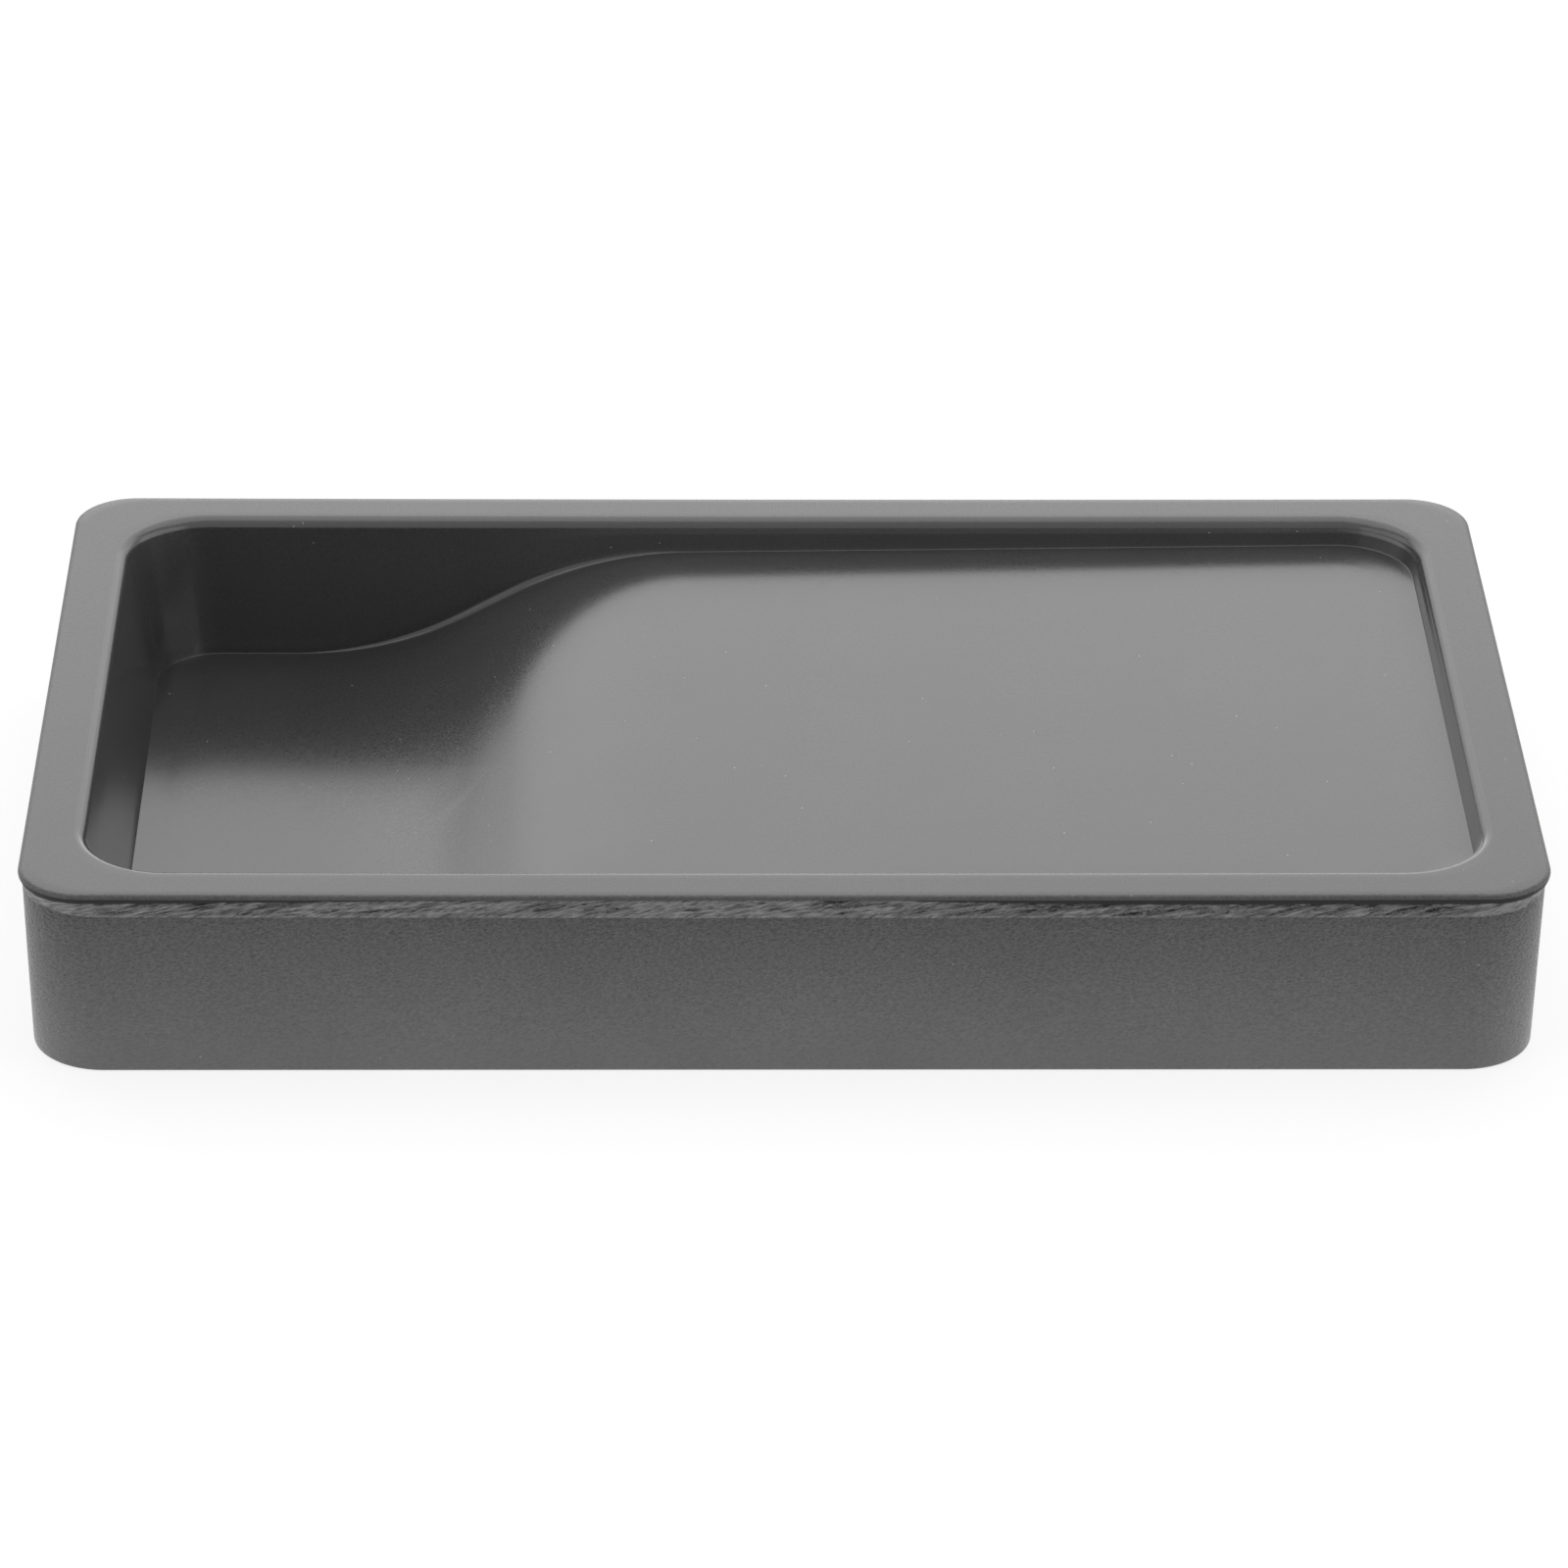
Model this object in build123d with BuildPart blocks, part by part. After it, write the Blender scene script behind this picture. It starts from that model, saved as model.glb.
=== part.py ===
from build123d import *
from math import radians, tan
import os

# Ink stone: one rectangular slab with a rounded hollow let into its top. The hollow is a deep ink
# pool at the -X end, a smooth slope, and a shallow grinding tray that falls gently to the slope.
# Millimetres and degrees, +X along the length towards the tray, +Y to the back, +Z up.
# The origin is the middle of the underside, on which the stone rests.

# Slab, at its widest
length = 150.0
width = 90.0
height = 20.0

# Outer walls, which lean out from the foot to the lip
wall_draft = 1.4
foot_corner_radius = 7.4
foot_round = 0.3

# Lip round the top edge, a little proud of the walls below it
lip_height = 0.9
lip_overhang = 0.2
lip_corner_radius = 6.4
lip_round = 0.35

# Rim between the slab's edge and the hollow, and the hollow's own outline at the rim
end_rim = 6.15
side_rim = 5.65
opening_corner_radius = 8.4
rim_round = 1.2

# Hollow's walls lean in from the rim to its floor, the end walls more than the long ones
end_draft = 9.3
side_draft = 3.0
bottom_corner_radius = 6.5
floor_cove = 0.4

# Floor, as depths below the rim, and how far the pool runs from the rim's edge to the slope
pool_depth = 15.7
crest_depth = 3.8
tray_end_depth = 2.8
pool_run = 27.3

# Slope between pool and tray, eased into both by the same long radius
slope_angle = 28.0
slope_radius = 40.0

# How far a cutting shape runs past what it cuts
overrun = 2.0


# Slab from foot to lip

wall_height = height - lip_height
wall_lean = wall_height * tan(radians(wall_draft))
foot_inset = lip_overhang + wall_lean
foot_length = length - 2 * foot_inset
foot_width = width - 2 * foot_inset

with BuildPart() as slab:
    with BuildSketch():
        RectangleRounded(foot_length, foot_width, foot_corner_radius)
    extrude(amount=wall_height, taper=-wall_draft)
    with BuildSketch(Plane.XY.offset(wall_height)):
        RectangleRounded(length, width, lip_corner_radius)
    extrude(amount=lip_height)
    fillet(slab.faces().sort_by(Axis.Z)[0].edges(), foot_round)
    fillet(slab.faces().sort_by(Axis.Z)[-1].edges(), lip_round)


# Floor line of the hollow in side view, from the pool's end wall to the tray's end wall

opening_length = length - 2 * end_rim
opening_width = width - 2 * side_rim

pool_level = height - pool_depth
crest_level = height - crest_depth
tray_end_level = height - tray_end_depth

slope_foot_x = pool_run - opening_length / 2
crest_x = slope_foot_x + (crest_level - pool_level) / tan(radians(slope_angle))
tray_fall = (tray_end_level - crest_level) / (opening_length / 2 - crest_x)

floor_start_x = -length / 2 - overrun
floor_end_x = length / 2 + overrun
floor_end_level = crest_level + tray_fall * (floor_end_x - crest_x)

with BuildPart() as floor_bed:
    with BuildSketch(Plane.XZ):
        with BuildLine():
            floor_line = FilletPolyline(
                (floor_start_x, pool_level),
                (slope_foot_x, pool_level),
                (crest_x, crest_level),
                (floor_end_x, floor_end_level),
                radius=slope_radius,
            )
            Polyline(
                floor_line @ 1,
                (floor_end_x, -overrun),
                (floor_start_x, -overrun),
                floor_line @ 0,
            )
        make_face()
    extrude(amount=width / 2 + overrun, both=True)


# Hollow: the drafted opening, cut short by the floor

cut_depth = pool_depth + overrun
bottom_length = opening_length - 2 * cut_depth * tan(radians(end_draft))
bottom_width = opening_width - 2 * cut_depth * tan(radians(side_draft))

with BuildPart() as hollow:
    with BuildSketch(Plane.XY.offset(height)):
        RectangleRounded(opening_length, opening_width, opening_corner_radius)
    with BuildSketch(Plane.XY.offset(height - cut_depth)):
        RectangleRounded(bottom_length, bottom_width, bottom_corner_radius)
    loft(ruled=True)
    add(floor_bed.part, mode=Mode.SUBTRACT)
    # The cove runs along every wall, but not along the smooth joins across the floor itself
    floor_edges = hollow.edges(Select.LAST)
    edges_across = floor_edges.filter_by(Axis.Y).sort_by(Axis.X)
    fillet(floor_edges - edges_across[1:-1], floor_cove)


# The finished stone

with BuildPart() as ink_stone:
    add(slab.part)
    add(hollow.part, mode=Mode.SUBTRACT)
    rim_edges = ink_stone.faces().sort_by(Axis.Z)[-1].inner_wires()[0].edges()
    fillet(rim_edges, rim_round)

ink_stone.part.label = "ink_stone"

os.makedirs("parts", exist_ok=True)
export_step(ink_stone.part, "parts/ink_stone.step")
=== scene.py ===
"""Ink stone: the finished skin round the plain solid, with a plain studio and the photo's camera.

Sizes are in millimetres and become metres where a mesh, lamp or camera is made.
"""
import logging
import math
from dataclasses import dataclass, field
from enum import Enum

import bmesh
import bpy
import numpy as np
from mathutils import Matrix


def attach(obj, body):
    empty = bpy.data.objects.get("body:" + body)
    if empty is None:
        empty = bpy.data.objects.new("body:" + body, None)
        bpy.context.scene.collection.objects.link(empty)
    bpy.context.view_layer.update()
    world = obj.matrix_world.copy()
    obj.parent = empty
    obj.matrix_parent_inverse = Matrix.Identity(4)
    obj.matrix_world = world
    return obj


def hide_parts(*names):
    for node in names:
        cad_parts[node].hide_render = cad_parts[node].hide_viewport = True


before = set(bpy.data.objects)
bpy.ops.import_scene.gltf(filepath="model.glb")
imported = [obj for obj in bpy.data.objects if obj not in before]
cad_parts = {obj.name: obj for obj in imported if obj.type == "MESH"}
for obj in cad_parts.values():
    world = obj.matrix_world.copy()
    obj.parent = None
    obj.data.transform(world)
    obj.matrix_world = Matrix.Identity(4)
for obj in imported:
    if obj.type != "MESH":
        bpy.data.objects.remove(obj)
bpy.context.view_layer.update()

LOG = logging.getLogger("ink_stone")

# Millimetres in a metre, and degrees in a quarter turn
METRE = 1000.0
QUARTER = 90.0

# Where most of a noise's values lie, and the middle that they swing about
NOISE_LOW = 0.3
NOISE_HIGH = 0.7
NOISE_MIDDLE = 0.5

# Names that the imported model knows, the finished piece's own name, and the file of both boxes
NODE = "ink_stone"
BODY = "root"
PIECE = "honed_and_cast_stone"


class Finish(Enum):
    """The ways in which the stone's surface is finished, numbered as InkStone.finishes lists them."""

    HONED = 0
    CAST = 1
    FILED = 2
    BURNISHED = 3
    GROUND = 4
    # The lip's upright face, painted nearly black for the shade under the lip
    EDGE = 5


class Side(Enum):
    """The four sides of the stone, in the order in which its outline runs round it."""

    FRONT = 0
    RIGHT = 1
    BACK = 2
    LEFT = 3


class Combine(Enum):
    """The ways in which two shader values make one."""

    PRODUCT = "MULTIPLY"
    LARGER = "MAXIMUM"
    BELOW = "LESS_THAN"


class Mixture(Enum):
    """What a mixture is made of."""

    VALUES = "FLOAT"
    COLOURS = "RGBA"


class Ray(Enum):
    """The kinds of light ray that the studio tells apart."""

    CAMERA = "Is Camera Ray"
    GLOSSY = "Is Glossy Ray"
    TRANSMITTED = "Is Transmission Ray"


def smooth_step(value: np.ndarray, low: float, high: float) -> np.ndarray:
    """Eases from 0 at low to 1 at high.

    Args:
        value: The values to ease.
        low: Where the result starts to rise.
        high: Where it reaches 1.

    Returns:
        An array of values from 0 to 1.
    """
    t = np.clip((value - low) / (high - low), 0.0, 1.0)
    return t * t * (3.0 - 2.0 * t)


def shares(steps: int) -> np.ndarray:
    """Even steps along a way as shares of it, without its start."""
    return np.linspace(0.0, 1.0, steps + 1)[1:]


def quarter_turn(steps: int) -> np.ndarray:
    """Even steps round a quarter turn in radians, without its start."""
    return np.radians(np.linspace(0.0, QUARTER, steps + 1)[1:])


def level_row(points: np.ndarray, level: float | np.ndarray) -> np.ndarray:
    """Plan points, as rows of x and y, lifted to one level or to one for each point."""
    return np.column_stack([points, np.broadcast_to(level, len(points))])


def spine_points(points: np.ndarray, half_length: float) -> np.ndarray:
    """The nearest place to each plan point on the line of that half length down the stone's middle."""
    return np.column_stack([np.clip(points[:, 0], -half_length, half_length), np.zeros(len(points))])


def grey(tone: float) -> tuple[float, float, float, float]:
    """A neutral colour of one linear tone."""
    return (tone, tone, tone, 1.0)


@dataclass(frozen=True)
class Outline:
    """A closed line round the stone seen from above, as points and the outward directions at them."""

    points: np.ndarray
    outward: np.ndarray

    def offset(self, distance: float | np.ndarray) -> np.ndarray:
        """Points moved outward by a distance, which may differ from point to point."""
        return self.points + self.outward * np.reshape(distance, (-1, 1))


@dataclass(frozen=True)
class Perimeter:
    """How every closed line round the stone is divided, so that all lines match point by point."""

    long_steps: int = 336
    short_steps: int = 184
    corner_steps: int = 28

    def steps(self, side: Side) -> int:
        """How many steps a side has between its corners."""
        return self.long_steps if side in (Side.FRONT, Side.BACK) else self.short_steps

    def outline(self, length: float, width: float, radius: float) -> Outline:
        """A rounded rectangle, from the front side's left end, anticlockwise seen from above.

        Args:
            length: Size along X.
            width: Size along Y.
            radius: Corner radius.

        Returns:
            The outline, with each side's points before those of the corner that follows it.
        """
        reach_x, reach_y = length / 2 - radius, width / 2 - radius
        corners = [(reach_x, -reach_y), (reach_x, reach_y), (-reach_x, reach_y), (-reach_x, -reach_y)]
        starts = [corners[-1], *corners[:-1]]
        points, outward = [], []
        for side in Side:
            steps = self.steps(side)
            facing = math.radians(QUARTER * (side.value - Side.RIGHT.value))
            normal = np.array([math.cos(facing), math.sin(facing)])
            t = np.arange(steps)[:, None] / steps
            start, end = np.array(starts[side.value]), np.array(corners[side.value])
            points.append(start + (end - start) * t + normal * radius)
            outward.append(np.repeat(normal[None], steps, axis=0))
            turn = facing + np.radians(QUARTER) * np.arange(self.corner_steps) / self.corner_steps
            normals = np.stack([np.cos(turn), np.sin(turn)], axis=1)
            points.append(end + normals * radius)
            outward.append(normals)
        return Outline(np.concatenate(points), np.concatenate(outward))

    def side_starts(self, run: np.ndarray) -> list[tuple[float, float]]:
        """Where each side starts along an outline, and how long it is.

        Args:
            run: Distance along the outline at each of its points.

        Returns:
            One start and length for each side, in the order of Side.
        """
        found, first = [], 0
        for side in Side:
            steps = self.steps(side)
            found.append((run[first], run[first + steps] - run[first]))
            first += steps + self.corner_steps
        return found


@dataclass(frozen=True)
class Ripple:
    """A gentle seeded unevenness in space: a sum of waves of about one length."""

    depth: float
    wave: float
    seed: int
    waves: int = 24
    least_wave_share: float = 0.7
    most_wave_share: float = 1.6

    def at(self, points: np.ndarray) -> np.ndarray:
        """The height of the unevenness at each point.

        Args:
            points: Places in millimetres, as rows of x, y and z.

        Returns:
            One height in millimetres for each place.
        """
        rng = np.random.default_rng(self.seed)
        direction = rng.normal(size=(self.waves, 3))
        direction /= np.linalg.norm(direction, axis=1, keepdims=True)
        lengths = self.wave * rng.uniform(self.least_wave_share, self.most_wave_share, self.waves)
        pitch = 2 * math.pi / lengths
        phase = rng.uniform(0.0, 2 * math.pi, self.waves)
        swing = np.cos(points @ (direction * pitch[:, None]).T + phase)
        return self.depth * swing.sum(axis=1) / math.sqrt(self.waves)


@dataclass(frozen=True)
class Skin:
    """Rows of points, one closed line each, and the finish of the faces that lead up to each."""

    rows: list[np.ndarray]
    finish: Finish


@dataclass
class OuterWall:
    """The stone's foot and its cast walls, which lean out a little towards the top."""

    length: float = 150.0
    width: float = 90.0
    height: float = 20.0
    foot_inset: float = 0.667
    corner_radius: float = 7.4
    draft: float = 1.4
    foot_round: float = 0.3
    top_depth: float = 2.45
    underside_rows: int = 3
    round_rows: int = 3
    wall_rows: int = 10
    ripple: Ripple = Ripple(depth=0.035, wave=16.0, seed=11)

    def line(self, perimeter: Perimeter) -> Outline:
        """The foot's outline."""
        inset = 2 * self.foot_inset
        return perimeter.outline(self.length - inset, self.width - inset, self.corner_radius)

    def lean(self, level: float | np.ndarray) -> float | np.ndarray:
        """How far the wall stands out past the foot's outline at a level."""
        return level * math.tan(math.radians(self.draft))

    def skins(self, perimeter: Perimeter) -> list[Skin]:
        """The underside and the wall, up to the filed band.

        Args:
            perimeter: How the closed lines are divided.

        Returns:
            One skin, from the middle of the underside to the top of the wall.
        """
        line = self.line(perimeter)
        spine = spine_points(line.points, (self.length - self.width) / 2)
        edge = line.offset(-self.foot_round)
        ways = np.linspace(0.0, 1.0, self.underside_rows)
        rows = [level_row(spine + (edge - spine) * t, 0.0) for t in ways]
        for turn in quarter_turn(self.round_rows):
            level = self.foot_round * (1 - math.cos(turn))
            out = self.lean(level) - self.foot_round * (1 - math.sin(turn))
            rows.append(level_row(line.offset(out), level))
        top = self.height - self.top_depth
        for level in np.linspace(self.foot_round, top, self.wall_rows + 1)[1:]:
            row = level_row(line.offset(self.lean(level)), level)
            row[:, :2] += line.outward * self.ripple.at(row)[:, None] * (level / top)
            rows.append(row)
        return [Skin(rows, Finish.CAST)]


@dataclass(frozen=True)
class Strokes:
    """A patch of file strokes on one side of the filed band.

    start and end are shares of the side's length, and the rest are millimetres and degrees. A
    stroke with a positive slope rises to the right, seen from outside.
    """

    side: Side
    start: float
    end: float
    count: int
    slope: float
    length: float
    width: float
    depth: float


@dataclass
class FiledBand:
    """The narrow band below the lip, filed by hand.

    A burr's place and width are shares of half its stroke's width, and its height is a share of the
    stroke's depth. The strokes fade in over foot_fade_share of the band's height from its foot, and
    out from lip_fade_share up to the lip.
    """

    recess: float = 0.07
    rows: int = 20
    ledge_rows: int = 2
    groove_power: float = 1.5
    burr_share: float = 0.35
    burr_place_share: float = 1.25
    burr_width_share: float = 0.4
    jitter_share: float = 0.35
    slope_jitter_share: float = 0.4
    foot_fade_share: float = 0.12
    lip_fade_share: float = 0.93
    seed: int = 23
    front_patches: tuple[Strokes, ...] = (
        Strokes(Side.FRONT, -0.04, 0.12, 18, 10.0, 8.0, 0.55, 0.14),
        Strokes(Side.FRONT, -0.05, 0.16, 60, 12.0, 5.0, 0.22, 0.13),
        Strokes(Side.FRONT, 0.12, 0.38, 84, 9.0, 4.5, 0.24, 0.11),
        Strokes(Side.FRONT, 0.34, 0.50, 98, 5.0, 2.0, 0.20, 0.08),
        Strokes(Side.FRONT, 0.52, 0.76, 98, 7.0, 9.0, 0.17, 0.11),
        Strokes(Side.FRONT, 0.74, 0.98, 120, 24.0, 3.2, 0.20, 0.11),
        Strokes(Side.FRONT, 0.74, 1.04, 60, 14.0, 5.0, 0.30, 0.13),
    )
    other_patches: tuple[Strokes, ...] = (
        Strokes(Side.RIGHT, 0.02, 0.40, 84, 10.0, 5.0, 0.24, 0.13),
        Strokes(Side.RIGHT, 0.45, 0.98, 126, 16.0, 3.6, 0.20, 0.11),
        Strokes(Side.BACK, 0.02, 0.30, 112, 8.0, 7.0, 0.20, 0.11),
        Strokes(Side.BACK, 0.26, 0.60, 126, 14.0, 4.5, 0.26, 0.13),
        Strokes(Side.BACK, 0.62, 0.98, 154, 6.0, 8.0, 0.18, 0.11),
        Strokes(Side.LEFT, 0.02, 0.55, 126, 12.0, 5.5, 0.22, 0.11),
        Strokes(Side.LEFT, 0.50, 0.97, 112, 20.0, 3.4, 0.22, 0.13),
    )

    def skins(self, wall: OuterWall, lip_foot: np.ndarray, perimeter: Perimeter) -> list[Skin]:
        """The ledge that the file left at the wall's top, and the filed face up to the lip.

        Args:
            wall: The wall below, whose line the band follows.
            lip_foot: The level of the lip's lower edge at each point of the outline.
            perimeter: How the closed lines are divided.

        Returns:
            One skin, with its strokes cut.
        """
        line = wall.line(perimeter)
        foot = wall.height - wall.top_depth
        run = np.concatenate([[0.0], np.cumsum(np.linalg.norm(np.diff(line.points, axis=0), axis=1))])
        levels, outs = [], []
        for t in shares(self.rows):
            level = foot + (lip_foot - foot) * t
            levels.append(level)
            ease = min(1.0, t * self.rows / self.ledge_rows)
            outs.append(wall.lean(level) - self.recess * ease)
        cut = self.strokes(run, perimeter.side_starts(run), np.array(levels))
        rows = []
        for level, out, depth in zip(levels, outs, cut):
            row = level_row(line.offset(out + depth), level)
            row[:, :2] += line.outward * wall.ripple.at(row)[:, None]
            rows.append(row)
        return [Skin(rows, Finish.FILED)]

    def strokes(
        self, run: np.ndarray, starts: list[tuple[float, float]], levels: np.ndarray
    ) -> np.ndarray:
        """Cuts every stroke into a flat surface.

        Args:
            run: Distance along the outline at each of its points.
            starts: Where each side starts along the outline, and its length.
            levels: Height of each row at each point.

        Returns:
            How far the surface moves outward at each row and point, mostly inward.
        """
        rng = np.random.default_rng(self.seed)
        moved = np.zeros_like(levels)
        low, high = levels.min(), levels.max()
        for patch in self.front_patches + self.other_patches:
            start, length = starts[patch.side.value]
            for _ in range(patch.count):
                middle = start + length * rng.uniform(patch.start, patch.end)
                level = rng.uniform(low, high)
                scale = rng.uniform(1 - self.jitter_share, 1 + self.jitter_share, 3)
                tilt = rng.uniform(1 - self.slope_jitter_share, 1 + self.slope_jitter_share)
                slope = math.radians(patch.slope * tilt)
                half_length = patch.length * scale[0] / 2
                half_width = patch.width * scale[1] / 2
                window = np.flatnonzero(np.abs(run - middle) < half_length + half_width)
                beside, above = run[window] - middle, levels[:, window] - level
                along = beside * math.cos(slope) + above * math.sin(slope)
                across = above * math.cos(slope) - beside * math.sin(slope)
                fade = np.clip(1 - (along / half_length) ** 2, 0.0, 1.0)
                groove = np.clip(1 - (across / half_width) ** 2, 0.0, 1.0) ** self.groove_power
                past = across - self.burr_place_share * half_width
                burr = np.exp(-((past / (self.burr_width_share * half_width)) ** 2))
                moved[:, window] += patch.depth * scale[2] * fade * (self.burr_share * burr - groove)
        rise = np.linspace(0.0, 1.0, len(levels))[:, None]
        fade_in = smooth_step(rise, 0.0, self.foot_fade_share)
        return moved * fade_in * (1 - smooth_step(rise, self.lip_fade_share, 1.0))


@dataclass
class Lip:
    """The rounded lip along the top edge. Filing has left it thicker in some places than others.

    The front's own heights take over from the other sides' between two shares of half the width.
    """

    corner_radius: float = 6.4
    lip_round: float = 0.42
    undercut: float = 0.12
    face_rows: int = 3
    round_rows: int = 5
    place_shares: tuple[float, ...] = (-1.0, -0.82, -0.7, -0.55, -0.3, 0.0, 0.12, 0.25, 0.4, 0.8, 1.0)
    front_heights: tuple[float, ...] = (0.95, 0.95, 0.8, 0.6, 0.5, 0.45, 0.5, 0.75, 0.95, 1.0, 0.9)
    front_start_share: float = 0.75
    front_full_share: float = 0.97
    other_height: float = 0.75
    other_swing: Ripple = Ripple(depth=0.16, wave=55.0, seed=5)
    chips: Ripple = Ripple(depth=0.035, wave=1.6, seed=7)

    def foot(self, wall: OuterWall, perimeter: Perimeter) -> np.ndarray:
        """The level of the lip's lower edge at each point of the outline.

        Args:
            wall: The wall below the lip.
            perimeter: How the closed lines are divided.

        Returns:
            One level in millimetres for each point.
        """
        points = level_row(wall.line(perimeter).points, wall.height)
        share = points[:, 0] / (wall.length / 2)
        front = np.interp(share, self.place_shares, self.front_heights)
        others = self.other_height + self.other_swing.at(points)
        forward = -points[:, 1] / (wall.width / 2)
        in_front = smooth_step(forward, self.front_start_share, self.front_full_share)
        height = others + (front - others) * in_front
        return wall.height - height + self.chips.at(points)

    def skins(self, wall: OuterWall, lip_foot: np.ndarray, perimeter: Perimeter) -> list[Skin]:
        """The lip, from its lower edge up its upright face, painted dark as shade, and over the round to
        the rim.

        Args:
            wall: The wall below the lip, which gives the slab's size.
            lip_foot: The level of the lip's lower edge at each point.
            perimeter: How the closed lines are divided.

        Returns:
            Two skins: the upright face with its painted shade, and the round.
        """
        line = perimeter.outline(wall.length, wall.width, self.corner_radius)
        top = wall.height - self.lip_round
        foot = np.minimum(lip_foot, top)
        face, rounding = [], []
        for t in np.linspace(0.0, 1.0, self.face_rows):
            level = foot + (top - foot) * t
            face.append(level_row(line.offset(-self.undercut * (1 - t) ** 2), level))
        for turn in quarter_turn(self.round_rows):
            level = top + self.lip_round * math.sin(turn)
            rounding.append(level_row(line.offset(-self.lip_round * (1 - math.cos(turn))), level))
        return [Skin(face, Finish.EDGE), Skin(rounding, Finish.BURNISHED)]


@dataclass
class Hollow:
    """The rim's flat top and the hollow: pool, slope and tray."""

    end_rim: float = 6.15
    side_rim: float = 5.65
    corner_radius: float = 8.4
    rim_round: float = 1.2
    end_draft: float = 9.3
    side_draft: float = 3.0
    bottom_corner_radius: float = 6.5
    cut_depth: float = 17.7
    cove: float = 0.06
    slope_cove: float = 0.8
    pool_depth: float = 15.7
    crest_depth: float = 3.8
    tray_end_depth: float = 2.8
    pool_run: float = 27.3
    slope_angle: float = 28.0
    slope_radius: float = 40.0
    rim_rows: int = 5
    round_rows: int = 12
    wall_rows: int = 8
    cove_rows: int = 3
    floor_rows: int = 13
    settle_steps: int = 4
    feel: float = 1.5

    def depth_at(self, x: np.ndarray, opening_length: float) -> np.ndarray:
        """Depth of the floor below the rim.

        Args:
            x: Places along the stone.
            opening_length: Length of the hollow's outline at the rim.

        Returns:
            A depth in millimetres for each place.
        """
        angle = math.radians(self.slope_angle)
        steep = math.tan(angle)
        end = opening_length / 2
        foot = self.pool_run - end
        crest = foot + (self.pool_depth - self.crest_depth) / steep
        fall = (self.crest_depth - self.tray_end_depth) / (end - crest)
        tilt = math.atan(fall)
        slope = self.pool_depth - (x - foot) * steep
        tray = self.crest_depth - (x - crest) * fall
        depth = np.where(x < foot, self.pool_depth, np.where(x < crest, slope, tray))

        # The round that eases the pool into the slope
        reach = self.slope_radius * math.tan(angle / 2)
        lower_x = foot - reach
        lower_middle = self.pool_depth - self.slope_radius
        in_lower = (x > lower_x) & (x < foot + reach * math.cos(angle))
        depth = np.where(in_lower, lower_middle + self.arc(x - lower_x), depth)

        # The round that eases the slope into the tray
        reach = self.slope_radius * math.tan((angle - tilt) / 2)
        join_x = crest + reach * math.cos(tilt)
        upper_x = join_x + self.slope_radius * math.sin(tilt)
        upper_middle = self.crest_depth - reach * math.sin(tilt) + self.slope_radius * math.cos(tilt)
        in_upper = (x > crest - reach * math.cos(angle)) & (x < join_x)
        return np.where(in_upper, upper_middle - self.arc(x - upper_x), depth)

    def arc(self, beside: np.ndarray) -> np.ndarray:
        """How far a slope's round lies above or below its own middle, at distances beside it."""
        return np.sqrt(np.clip(self.slope_radius**2 - beside**2, 0.0, None))

    def steepness(self, x: np.ndarray, opening_length: float) -> np.ndarray:
        """How steep the floor is at each place along the stone, as a share of the slope's own.

        Args:
            x: Places along the stone.
            opening_length: Length of the hollow's outline at the rim.

        Returns:
            A share from 0 to 1 for each place.
        """
        before = self.depth_at(x - self.feel, opening_length)
        rise = before - self.depth_at(x + self.feel, opening_length)
        return np.clip(rise / (2 * self.feel * math.tan(math.radians(self.slope_angle))), 0.0, 1.0)

    def lean(self, opening: Outline, perimeter: Perimeter) -> np.ndarray:
        """How the hollow's walls run inward as they go down.

        Args:
            opening: The hollow's outline at the rim.
            perimeter: How the closed lines are divided.

        Returns:
            The way in x and y for each millimetre of depth, at each point of the outline.
        """
        size = np.ptp(opening.points, axis=0)
        drafts = np.radians([self.end_draft, self.side_draft])
        low_length, low_width = size - 2 * self.cut_depth * np.tan(drafts)
        low = perimeter.outline(low_length, low_width, self.bottom_corner_radius)
        return (low.points - opening.points) / self.cut_depth

    def skins(self, wall: OuterWall, lip: Lip, perimeter: Perimeter) -> list[Skin]:
        """The rim's honed top, and the hollow's ground walls and floor.

        Args:
            wall: The outer wall, which gives the slab's size.
            lip: The lip, where the rim's top starts.
            perimeter: How the closed lines are divided.

        Returns:
            Two skins, of which the second ends along the middle of the floor.
        """
        length, width = wall.length - 2 * self.end_rim, wall.width - 2 * self.side_rim
        opening = perimeter.outline(length, width, self.corner_radius)
        outer = perimeter.outline(wall.length, wall.width, lip.corner_radius).offset(-lip.lip_round)
        inner = opening.offset(self.rim_round)
        rim = [level_row(outer + (inner - outer) * t, wall.height) for t in shares(self.rim_rows)]

        lean = self.lean(opening, perimeter)
        depth = np.full(len(opening.points), self.pool_depth)
        for _ in range(self.settle_steps):
            depth = self.depth_at((opening.points + lean * depth[:, None])[:, 0], length)
        cove = self.cove + self.slope_cove * self.steepness(opening.points[:, 0], length)
        foot = Outline(opening.points + lean * depth[:, None], opening.outward)
        ground = [
            *self.sides(opening, lean, depth - cove, wall.height),
            *self.floor(foot, cove, (length, width), wall.height),
        ]
        return [Skin(rim, Finish.HONED), Skin(ground, Finish.GROUND)]

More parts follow.
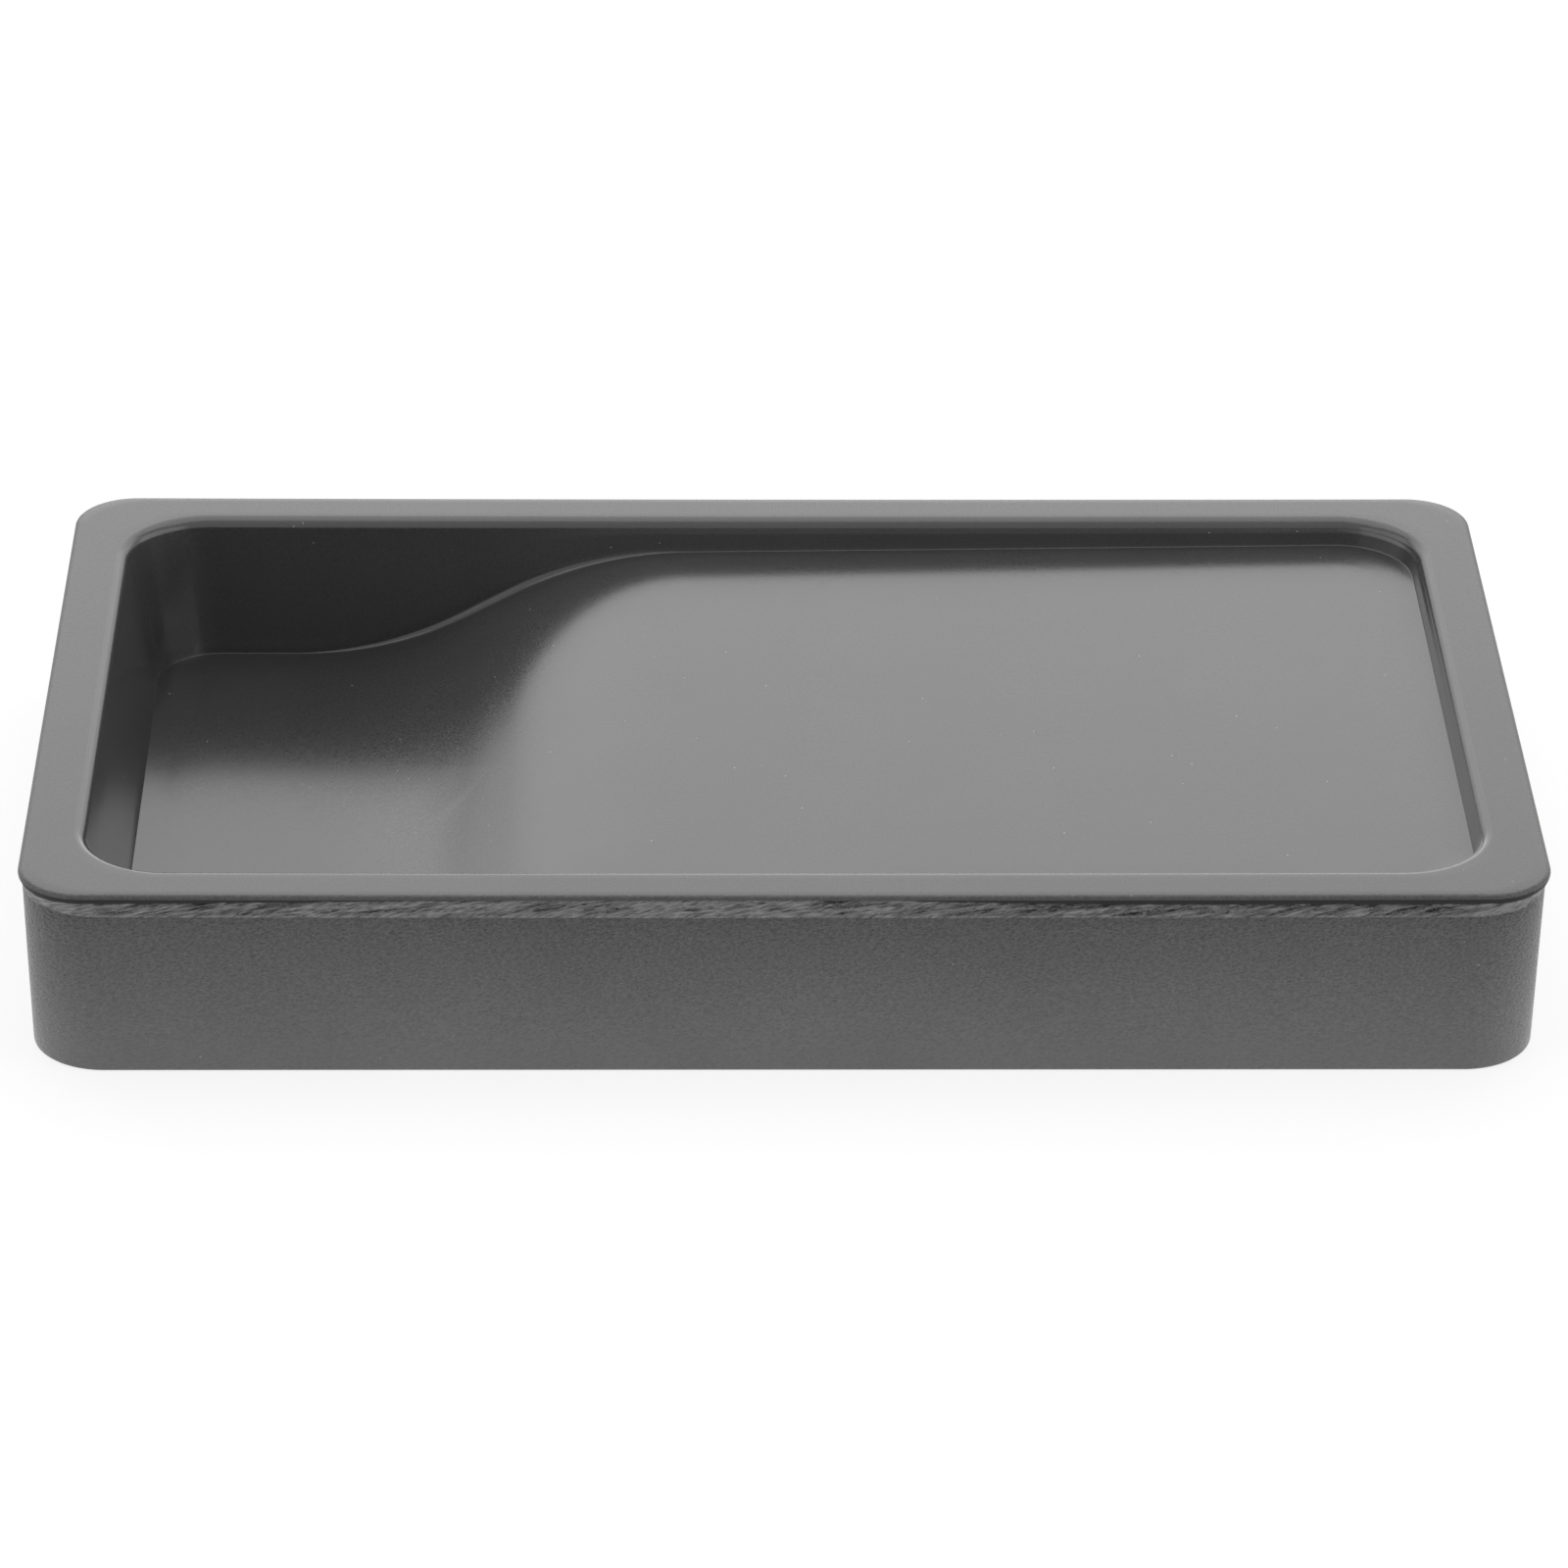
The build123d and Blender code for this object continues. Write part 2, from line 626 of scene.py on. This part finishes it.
    def sides(
        self, opening: Outline, lean: np.ndarray, last: np.ndarray, height: float
    ) -> list[np.ndarray]:
        """The round over the hollow's edge, and the walls down to the cove at their foot.

        Args:
            opening: The hollow's outline at the rim.
            lean: How the walls run inward for each millimetre of depth.
            last: How deep the walls go at each point of the outline.
            height: The rim's level.

        Returns:
            Rows of points, from the rim down.
        """
        steep = np.degrees(np.arctan(np.linalg.norm(lean, axis=1)))
        rows = []
        for t in shares(self.round_rows):
            turn = np.radians((QUARTER - steep) * t)
            out = self.rim_round * (1 - np.sin(turn))
            rows.append(level_row(opening.offset(out), height - self.rim_round * (1 - np.cos(turn))))
        first = self.rim_round * (1 - np.sin(np.radians(steep)))
        for t in shares(self.wall_rows):
            deep = first + (last - first) * t
            rows.append(level_row(opening.points + lean * deep[:, None], height - deep))
        return rows

    def floor(
        self, foot: Outline, cove: np.ndarray, opening_size: tuple[float, float], height: float
    ) -> list[np.ndarray]:
        """The cove along the foot of the walls, and the floor in to its middle line.

        Args:
            foot: The line along which the walls would meet the floor without a cove.
            cove: The cove's radius at each point of that line.
            opening_size: Length and width of the hollow's outline at the rim.
            height: The rim's level.

        Returns:
            Rows of points, from the walls to the middle.
        """
        length, width = opening_size
        rows = []
        for turn in quarter_turn(self.cove_rows):
            place = foot.points - foot.outward * (cove * (1 - math.cos(turn)))[:, None]
            depth = self.depth_at(place[:, 0], length)
            rows.append(level_row(place, height - depth + cove * (1 - math.sin(turn))))
        edge = foot.points - foot.outward * cove[:, None]
        spine = spine_points(edge, (length - width) / 2)
        for t in shares(self.floor_rows):
            place = edge + (spine - edge) * t
            rows.append(level_row(place, height - self.depth_at(place[:, 0], length)))
        return rows


class NodeBench:
    """Adds and joins shader nodes in one tree."""

    def __init__(self, tree: bpy.types.NodeTree) -> None:
        """Keeps the tree to work on."""
        self.tree = tree

    def only(self, kind: str) -> bpy.types.Node:
        """The tree's first node of a kind."""
        return next(node for node in self.tree.nodes if node.bl_idname == kind)

    def feed(self, value: object, target: bpy.types.NodeSocket) -> None:
        """Gives an input its value.

        Args:
            value: A plain value, or another node's socket to join.
            target: The input.
        """
        if isinstance(value, bpy.types.NodeSocket):
            self.tree.links.new(value, target)
        else:
            target.default_value = value

    def add(self, kind: str, **values: object) -> bpy.types.Node:
        """Adds a node.

        Args:
            kind: The node's type.
            values: Its own settings by name, and its inputs by name, as feed takes them.

        Returns:
            The new node.
        """
        node = self.tree.nodes.new(kind)
        settings = [name for name in values if name.islower() and hasattr(node, name)]
        for name in settings:
            setattr(node, name, values[name])
        for name in values:
            if name not in settings:
                self.feed(values[name], next(s for s in node.inputs if s.name == name and s.enabled))
        return node

    def noise(
        self,
        place: bpy.types.NodeSocket,
        size: float,
        detail: float,
        stretch: float = 1.0,
        slope: float = 0.0,
    ) -> bpy.types.NodeSocket:
        """Soft noise in space.

        Args:
            place: Coordinates in metres.
            size: Feature size up and down, in millimetres.
            detail: Octaves of finer noise.
            stretch: How many times longer the features are than they are high.
            slope: By how many degrees long features rise towards +X.

        Returns:
            The noise value's socket.
        """
        high, long = size / METRE, size * stretch / METRE
        scaled = self.add(
            "ShaderNodeMapping",
            vector_type="TEXTURE",
            Vector=place,
            Rotation=(0.0, -math.radians(slope), 0.0),
            Scale=(long, long, high),
        )
        made = self.add("ShaderNodeTexNoise", Vector=scaled.outputs["Vector"], Scale=1.0, Detail=detail)
        return made.outputs["Fac"]

    def specks(
        self, place: bpy.types.NodeSocket, size: float, radius_share: float
    ) -> bpy.types.NodeSocket:
        """Small round specks, as a mask from 0 to 1.

        Args:
            place: Coordinates in metres.
            size: Mean distance between specks, in millimetres.
            radius_share: A speck's radius as a share of that distance.

        Returns:
            The mask's socket.
        """
        cells = self.add("ShaderNodeTexVoronoi", Vector=place, Scale=METRE / size)
        return self.combine(Combine.BELOW, cells.outputs["Distance"], radius_share)

    def combine(self, how: Combine, first: object, second: object) -> bpy.types.NodeSocket:
        """Makes one value of two.

        Args:
            how: What is worked out.
            first: A value, as feed takes it.
            second: The other value.

        Returns:
            The result's socket.
        """
        made = self.add("ShaderNodeMath", operation=how.value)
        self.feed(first, made.inputs[0])
        self.feed(second, made.inputs[1])
        return made.outputs["Value"]

    def mix(self, kind: Mixture, share: object, start: object, end: object) -> bpy.types.NodeSocket:
        """Mixes two values or two colours.

        Args:
            kind: Which of the two it mixes.
            share: How much of the end is mixed in, from 0 to 1.
            start: The mixture at 0, as feed takes it.
            end: The mixture at 1.

        Returns:
            The mixture's socket.
        """
        made = self.add("ShaderNodeMix", data_type=kind.value, Factor=share, A=start, B=end)
        return next(socket for socket in made.outputs if socket.enabled)

    def ramp(
        self,
        value: bpy.types.NodeSocket,
        results: tuple[float, float],
        ends: tuple[float, float] = (0.0, 1.0),
    ) -> bpy.types.NodeSocket:
        """Turns one range of values into another, and holds it past the ends.

        Args:
            value: The value to turn.
            results: What it becomes at each end.
            ends: The ends of its own range.

        Returns:
            The result's socket.
        """
        made = self.add("ShaderNodeMapRange", Value=value)
        for name, number in zip(("From Min", "From Max", "To Min", "To Max"), (*ends, *results)):
            self.feed(number, made.inputs[name])
        return made.outputs["Result"]

    def spread(self, noise: bpy.types.NodeSocket, low: float, high: float) -> bpy.types.NodeSocket:
        """A noise, turned into the range from low to high."""
        return self.ramp(noise, (low, high), (NOISE_LOW, NOISE_HIGH))

    def rays(self, *kinds: Ray) -> bpy.types.NodeSocket:
        """Tells some kinds of ray from all others.

        Args:
            kinds: The kinds to find.

        Returns:
            A socket that is 1 for rays of those kinds and 0 for others.
        """
        path = self.add("ShaderNodeLightPath")
        found = path.outputs[kinds[0].value]
        for kind in kinds[1:]:
            found = self.combine(Combine.LARGER, found, path.outputs[kind.value])
        return found


@dataclass(frozen=True)
class StoneFinish:
    """One finish of the stone as a procedural material. Sizes are in millimetres, tones linear."""

    name: str
    tone: float
    roughness: float
    mottle_size: float = 14.0
    mottle_detail: float = 4.0
    mottle_share: float = 0.06
    grain_size: float = 0.5
    grain_detail: float = 3.0
    grain_stretch: float = 1.0
    grain_slope: float = 0.0
    grain_depth: float = 0.01
    grain_tone_share: float = 0.1
    grain_foot_share: float = 1.0
    roughness_swing: float = 0.06
    speck_size: float = 3.2
    speck_radius_share: float = 0.025
    speck_tone: float = 0.35
    foot_tone_share: float = 0.0
    specular: float = 0.5
    wall_height: float = 18.0
    # Painted shade in grooves and under edges: how far it reaches, how strong it is, and its samples
    painted_shade_reach: float = 0.6
    painted_shade_share: float = 0.0
    painted_shade_samples: int = 6

    def material(self) -> bpy.types.Material:
        """Builds the finish's nodes.

        Returns:
            The new material.
        """
        made = bpy.data.materials.new(self.name)
        made.use_nodes = True
        nodes = NodeBench(made.node_tree)
        shader = nodes.only("ShaderNodeBsdfPrincipled")
        place = nodes.add("ShaderNodeTexCoord").outputs["Object"]
        rise = nodes.add("ShaderNodeSeparateXYZ", Vector=place).outputs["Z"]
        grain = self.grain(nodes, place, rise)
        least, most = self.roughness - self.roughness_swing, self.roughness + self.roughness_swing
        bump = nodes.add("ShaderNodeBump", Height=grain, Distance=self.grain_depth / METRE)
        nodes.feed(self.colour(nodes, place, rise, grain), shader.inputs["Base Color"])
        nodes.feed(nodes.spread(grain, least, most), shader.inputs["Roughness"])
        nodes.feed(self.specular, shader.inputs["Specular IOR Level"])
        nodes.feed(bump.outputs["Normal"], shader.inputs["Normal"])
        return made

    def grain(
        self, nodes: NodeBench, place: bpy.types.NodeSocket, rise: bpy.types.NodeSocket
    ) -> bpy.types.NodeSocket:
        """The stone's grain, which can be weaker towards the foot.

        Args:
            nodes: Where the nodes are added.
            place: Coordinates in metres.
            rise: The height in metres.

        Returns:
            The noise value's socket.
        """
        full = nodes.noise(
            place, self.grain_size, self.grain_detail, self.grain_stretch, self.grain_slope
        )
        if self.grain_foot_share == 1.0:
            return full
        strength = self.from_foot(nodes, rise, self.grain_foot_share)
        return nodes.mix(Mixture.VALUES, strength, NOISE_MIDDLE, full)

    def colour(
        self,
        nodes: NodeBench,
        place: bpy.types.NodeSocket,
        rise: bpy.types.NodeSocket,
        grain: bpy.types.NodeSocket,
    ) -> bpy.types.NodeSocket:
        """The stone's grey, with its mottling, grain, painted shade in grooves and under edges, and pale
        specks.

        Args:
            nodes: Where the nodes are added.
            place: Coordinates in metres.
            rise: The height in metres.
            grain: The grain's noise value.

        Returns:
            The colour's socket.
        """
        mottle = nodes.noise(place, self.mottle_size, self.mottle_detail)
        dark, pale = self.tone * (1 - self.mottle_share), self.tone * (1 + self.mottle_share)
        factors = [nodes.spread(grain, 1 - self.grain_tone_share, 1 + self.grain_tone_share)]
        if self.foot_tone_share:
            factors.append(self.from_foot(nodes, rise, 1 + self.foot_tone_share))
        # Painted shade: darker colour in grooves and under edges, found by ambient occlusion
        if self.painted_shade_share:
            factors.append(self.painted_crevice_shade(nodes))
        tone = nodes.spread(mottle, dark, pale)
        for factor in factors:
            tone = nodes.combine(Combine.PRODUCT, tone, factor)
        speck = nodes.specks(place, self.speck_size, self.speck_radius_share)
        return nodes.mix(Mixture.COLOURS, speck, tone, grey(self.speck_tone))

    def from_foot(
        self, nodes: NodeBench, rise: bpy.types.NodeSocket, at_foot: float
    ) -> bpy.types.NodeSocket:
        """A share of that size at the foot, and 1 from the top of the wall up."""
        return nodes.ramp(rise, (at_foot, 1.0), (0.0, self.wall_height / METRE))

    def painted_crevice_shade(self, nodes: NodeBench) -> bpy.types.NodeSocket:
        """Painted shade in grooves and under edges: ambient occlusion darkens the colour there.

        Args:
            nodes: Where the nodes are added.

        Returns:
            A share's socket, 1 on open stone and less in a crevice.
        """
        found = nodes.add(
            "ShaderNodeAmbientOcclusion",
            samples=self.painted_shade_samples,
            only_local=True,
            Distance=self.painted_shade_reach / METRE,
        )
        return nodes.ramp(found.outputs["AO"], (1 - self.painted_shade_share, 1.0))


@dataclass
class InkStone:
    """The whole stone as one closed skin."""

    wall: OuterWall = field(default_factory=OuterWall)
    band: FiledBand = field(default_factory=FiledBand)
    lip: Lip = field(default_factory=Lip)
    hollow: Hollow = field(default_factory=Hollow)
    perimeter: Perimeter = Perimeter()
    bow: float = 0.12
    sharp_degrees: float = 38.0
    merge_distance: float = 0.001
    sliver_length: float = 0.0001
    finishes: tuple[StoneFinish, ...] = (
        StoneFinish(
            "honed_stone",
            tone=0.048,
            roughness=0.27,
            grain_size=0.3,
            grain_depth=0.005,
            grain_tone_share=0.05,
            specular=0.46,
        ),
        StoneFinish(
            "cast_stone",
            tone=0.079,
            roughness=0.28,
            grain_size=0.24,
            grain_stretch=2.0,
            grain_slope=14.0,
            grain_depth=0.9,
            grain_tone_share=0.45,
            grain_foot_share=0.1,
            roughness_swing=0.12,
            foot_tone_share=0.66,
        ),
        StoneFinish(
            "filed_stone",
            tone=0.21,
            roughness=0.3,
            grain_size=0.15,
            grain_stretch=9.0,
            grain_slope=15.0,
            grain_depth=0.4,
            grain_tone_share=0.7,
            roughness_swing=0.12,
            # Painted shade at full strength in the file strokes and under the lip
            painted_shade_share=1.0,
        ),
        StoneFinish(
            "burnished_lip",
            tone=0.05,
            roughness=0.34,
            grain_size=0.3,
            grain_depth=0.08,
            grain_tone_share=0.3,
            specular=0.4,
            # Painted shade at full strength where the lip meets the filed band
            painted_shade_share=1.0,
        ),
        StoneFinish(
            "ground_stone",
            tone=0.058,
            roughness=0.19,
            grain_size=0.25,
            grain_depth=0.004,
            # Painted shade: the colour darkens down the hollow, most on the pool's floor
            foot_tone_share=-0.35,
        ),
        # Painted shade: the lip's upright face, nearly black for the shade under the lip
        StoneFinish(
            "lip_edge_painted_shade",
            tone=0.02,
            roughness=0.45,
            grain_size=0.3,
            grain_depth=0.08,
            specular=0.15,
        ),
    )

    def build(self) -> bpy.types.Object:
        """Makes the skin's mesh and dresses it.

        Returns:
            The object, in metres, where the solid stands.
        """
        lip_foot = self.lip.foot(self.wall, self.perimeter)
        skins = [
            *self.wall.skins(self.perimeter),
            *self.band.skins(self.wall, lip_foot, self.perimeter),
            *self.lip.skins(self.wall, lip_foot, self.perimeter),
            *self.hollow.skins(self.wall, self.lip, self.perimeter),
        ]
        rows = np.array([row for skin in skins for row in skin.rows])
        finishes = [skin.finish.value for skin in skins for _ in skin.rows]
        self.sag(rows)
        stone = self.mesh(rows, finishes)
        for finish in self.finishes:
            stone.data.materials.append(finish.material())
        return stone

    def sag(self, rows: np.ndarray) -> None:
        """Lowers the middle of the stone's top a little, as casting left it, and keeps the foot level."""
        share = 1 - (rows[..., 0] / (self.wall.length / 2)) ** 2
        rows[..., 2] -= self.bow * share * rows[..., 2] / self.wall.height

    def mesh(self, rows: np.ndarray, finishes: list[int]) -> bpy.types.Object:
        """Joins the rows into one closed mesh.

        Args:
            rows: Points by row and place, in millimetres.
            finishes: The finish of the faces that lead up to each row.

        Returns:
            The new object, linked to the scene.
        """
        count, around = rows.shape[:2]
        firsts = np.arange(count - 1)[:, None] * around
        here = firsts + np.arange(around)
        after = firsts + np.roll(np.arange(around), -1)
        faces = np.stack([here, after, after + around, here + around], axis=-1).reshape(-1, 4)
        data = bpy.data.meshes.new(PIECE)
        data.from_pydata((rows.reshape(-1, 3) / METRE).tolist(), [], faces.tolist())
        data.polygons.foreach_set("material_index", np.repeat(finishes[1:], around))
        data.update()
        stone = bpy.data.objects.new(PIECE, data)
        bpy.context.scene.collection.objects.link(stone)
        self.close(data)
        return stone

    def close(self, data: bpy.types.Mesh) -> None:
        """Merges the rows' meeting points along the two middle lines and marks the sharp edges.

        Args:
            data: The mesh, which is changed.
        """
        bench = bmesh.new()
        bench.from_mesh(data)
        bmesh.ops.remove_doubles(bench, verts=bench.verts, dist=self.merge_distance / METRE)
        bmesh.ops.dissolve_degenerate(bench, edges=bench.edges, dist=self.sliver_length / METRE)
        bmesh.ops.recalc_face_normals(bench, faces=bench.faces)
        for face in bench.faces:
            face.smooth = True
        bench.to_mesh(data)
        bench.free()
        data.set_sharp_from_angle(angle=math.radians(self.sharp_degrees))


@dataclass(frozen=True)
class Viewpoint:
    """The photo's camera: a pinhole with its axis in the middle of the frame."""

    place: tuple[float, float, float] = (-13.3155, -637.137, 344.2785)
    pitch: float = 27.78
    yaw: float = 1.25
    roll: float = -0.591
    focal_pixels: float = 7101.3
    frame_pixels: float = 1600.0
    sensor: float = 36.0

    def build(self) -> None:
        """Makes the camera and gives it to the scene."""
        data = bpy.data.cameras.new("camera")
        data.sensor_width = self.sensor
        data.lens = self.focal_pixels / self.frame_pixels * self.sensor
        camera = bpy.data.objects.new("camera", data)
        tilt = Matrix.Rotation(math.radians(QUARTER - self.pitch), 4, "X")
        turn = Matrix.Rotation(math.radians(-self.yaw), 4, "Z")
        spin = Matrix.Rotation(math.radians(-self.roll), 4, "Z")
        move = Matrix.Translation([value / METRE for value in self.place])
        camera.matrix_world = move @ turn @ tilt @ spin
        bpy.context.scene.collection.objects.link(camera)
        bpy.context.scene.camera = camera


@dataclass(frozen=True)
class Softbox:
    """A rectangular studio lamp, aimed at the stone.

    Azimuth 0 is behind the stone, seen from the camera, and 90 is to its right.
    """

    name: str
    azimuth: float
    elevation: float
    distance: float
    width: float
    height: float
    power: float

    def build(self) -> None:
        """Makes the lamp and turns it to the stone."""
        data = bpy.data.lights.new(self.name, "AREA")
        data.shape = "RECTANGLE"
        data.size, data.size_y = self.width / METRE, self.height / METRE
        data.energy = self.power
        lamp = bpy.data.objects.new(self.name, data)
        turn = Matrix.Rotation(math.radians(-self.azimuth), 4, "Z")
        tilt = Matrix.Rotation(math.radians(self.elevation - QUARTER), 4, "X")
        reach = self.distance / METRE
        up, flat = math.sin(math.radians(self.elevation)), math.cos(math.radians(self.elevation))
        place = turn @ Matrix.Translation((0.0, reach * flat, reach * up))
        lamp.matrix_world = place @ tilt
        bpy.context.scene.collection.objects.link(lamp)


@dataclass
class Studio:
    """A plain white table and surround with soft lamps."""

    lamps: tuple[Softbox, ...] = (
        Softbox("back_softbox", 0.0, 33.0, 1300.0, width=2600.0, height=700.0, power=6.25),
        Softbox("low_softbox", 0.0, 12.5, 1300.0, width=2600.0, height=250.0, power=0.7),
        Softbox("edge_softbox", 0.0, 12.5, 1280.0, width=560.0, height=250.0, power=0.6),
        Softbox("right_softbox", 108.0, 20.0, 1300.0, width=2000.0, height=850.0, power=6.6),
        Softbox("left_softbox", -108.0, 20.0, 1300.0, width=2000.0, height=850.0, power=4.9),
        Softbox("top_softbox", 0.0, 79.0, 1200.0, width=1600.0, height=1250.0, power=9.0),
    )
    ambient: float = 0.24
    mirrored_surround: float = 1.15
    table_tone: float = 0.6
    table_glow: float = 0.45
    seen_table_tone: float = 0.25
    seen_table_glow: float = 0.8
    table_half_width: float = 6000.0
    viewpoint: Viewpoint = Viewpoint()

    def build(self) -> None:
        """Makes the camera, the lamps, the world and the table top."""
        self.viewpoint.build()
        for lamp in self.lamps:
            lamp.build()
        self.surround()
        self.table()
        bpy.context.scene.view_settings.view_transform = "Standard"

    def surround(self) -> None:
        """Makes a world that is white where it is seen, bright in gloss and otherwise a low light."""
        world = bpy.data.worlds.new("surround")
        world.use_nodes = True
        bpy.context.scene.world = world
        nodes = NodeBench(world.node_tree)
        back = nodes.only("ShaderNodeBackground")
        mirrored = nodes.rays(Ray.GLOSSY, Ray.TRANSMITTED)
        light = nodes.ramp(mirrored, (self.ambient, self.mirrored_surround))
        strength = nodes.combine(Combine.LARGER, light, nodes.rays(Ray.CAMERA))
        nodes.feed(grey(1.0), back.inputs["Color"])
        nodes.feed(strength, back.inputs["Strength"])

    def table(self) -> None:
        """Makes a plain pale table top that keeps the stone's shadow."""
        half = self.table_half_width / METRE
        corners = [(-half, -half, 0.0), (half, -half, 0.0), (half, half, 0.0), (-half, half, 0.0)]
        data = bpy.data.meshes.new("table_top")
        data.from_pydata(corners, [], [(0, 1, 2, 3)])
        data.materials.append(self.table_finish())
        top = bpy.data.objects.new("table_top", data)
        bpy.context.scene.collection.objects.link(top)

    def table_finish(self) -> bpy.types.Material:
        """Makes a matt white, which glows more where it is seen than where it lights the stone.

        Returns:
            The new material.
        """
        made = bpy.data.materials.new("white_table")
        made.use_nodes = True
        nodes = NodeBench(made.node_tree)
        shader = nodes.only("ShaderNodeBsdfPrincipled")
        seen = nodes.rays(Ray.CAMERA, Ray.GLOSSY, Ray.TRANSMITTED)
        tone = nodes.ramp(seen, (self.table_tone, self.seen_table_tone))
        glow = nodes.ramp(seen, (self.table_glow, self.seen_table_glow))
        nodes.feed(tone, shader.inputs["Base Color"])
        nodes.feed(1.0, shader.inputs["Roughness"])
        nodes.feed(0.0, shader.inputs["Specular IOR Level"])
        nodes.feed(grey(1.0), shader.inputs["Emission Color"])
        nodes.feed(glow, shader.inputs["Emission Strength"])
        return made


def main() -> None:
    """Builds the stone, stands it on its body in place of the plain solid, and lights it."""
    logging.basicConfig(level=logging.INFO)
    stone = InkStone().build()
    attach(stone, BODY)
    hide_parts(NODE)
    LOG.info("%s: %d faces", stone.name, len(stone.data.polygons))
    Studio().build()
    LOG.info("studio: camera, lamps and table")


if __name__ == "__main__":
    main()
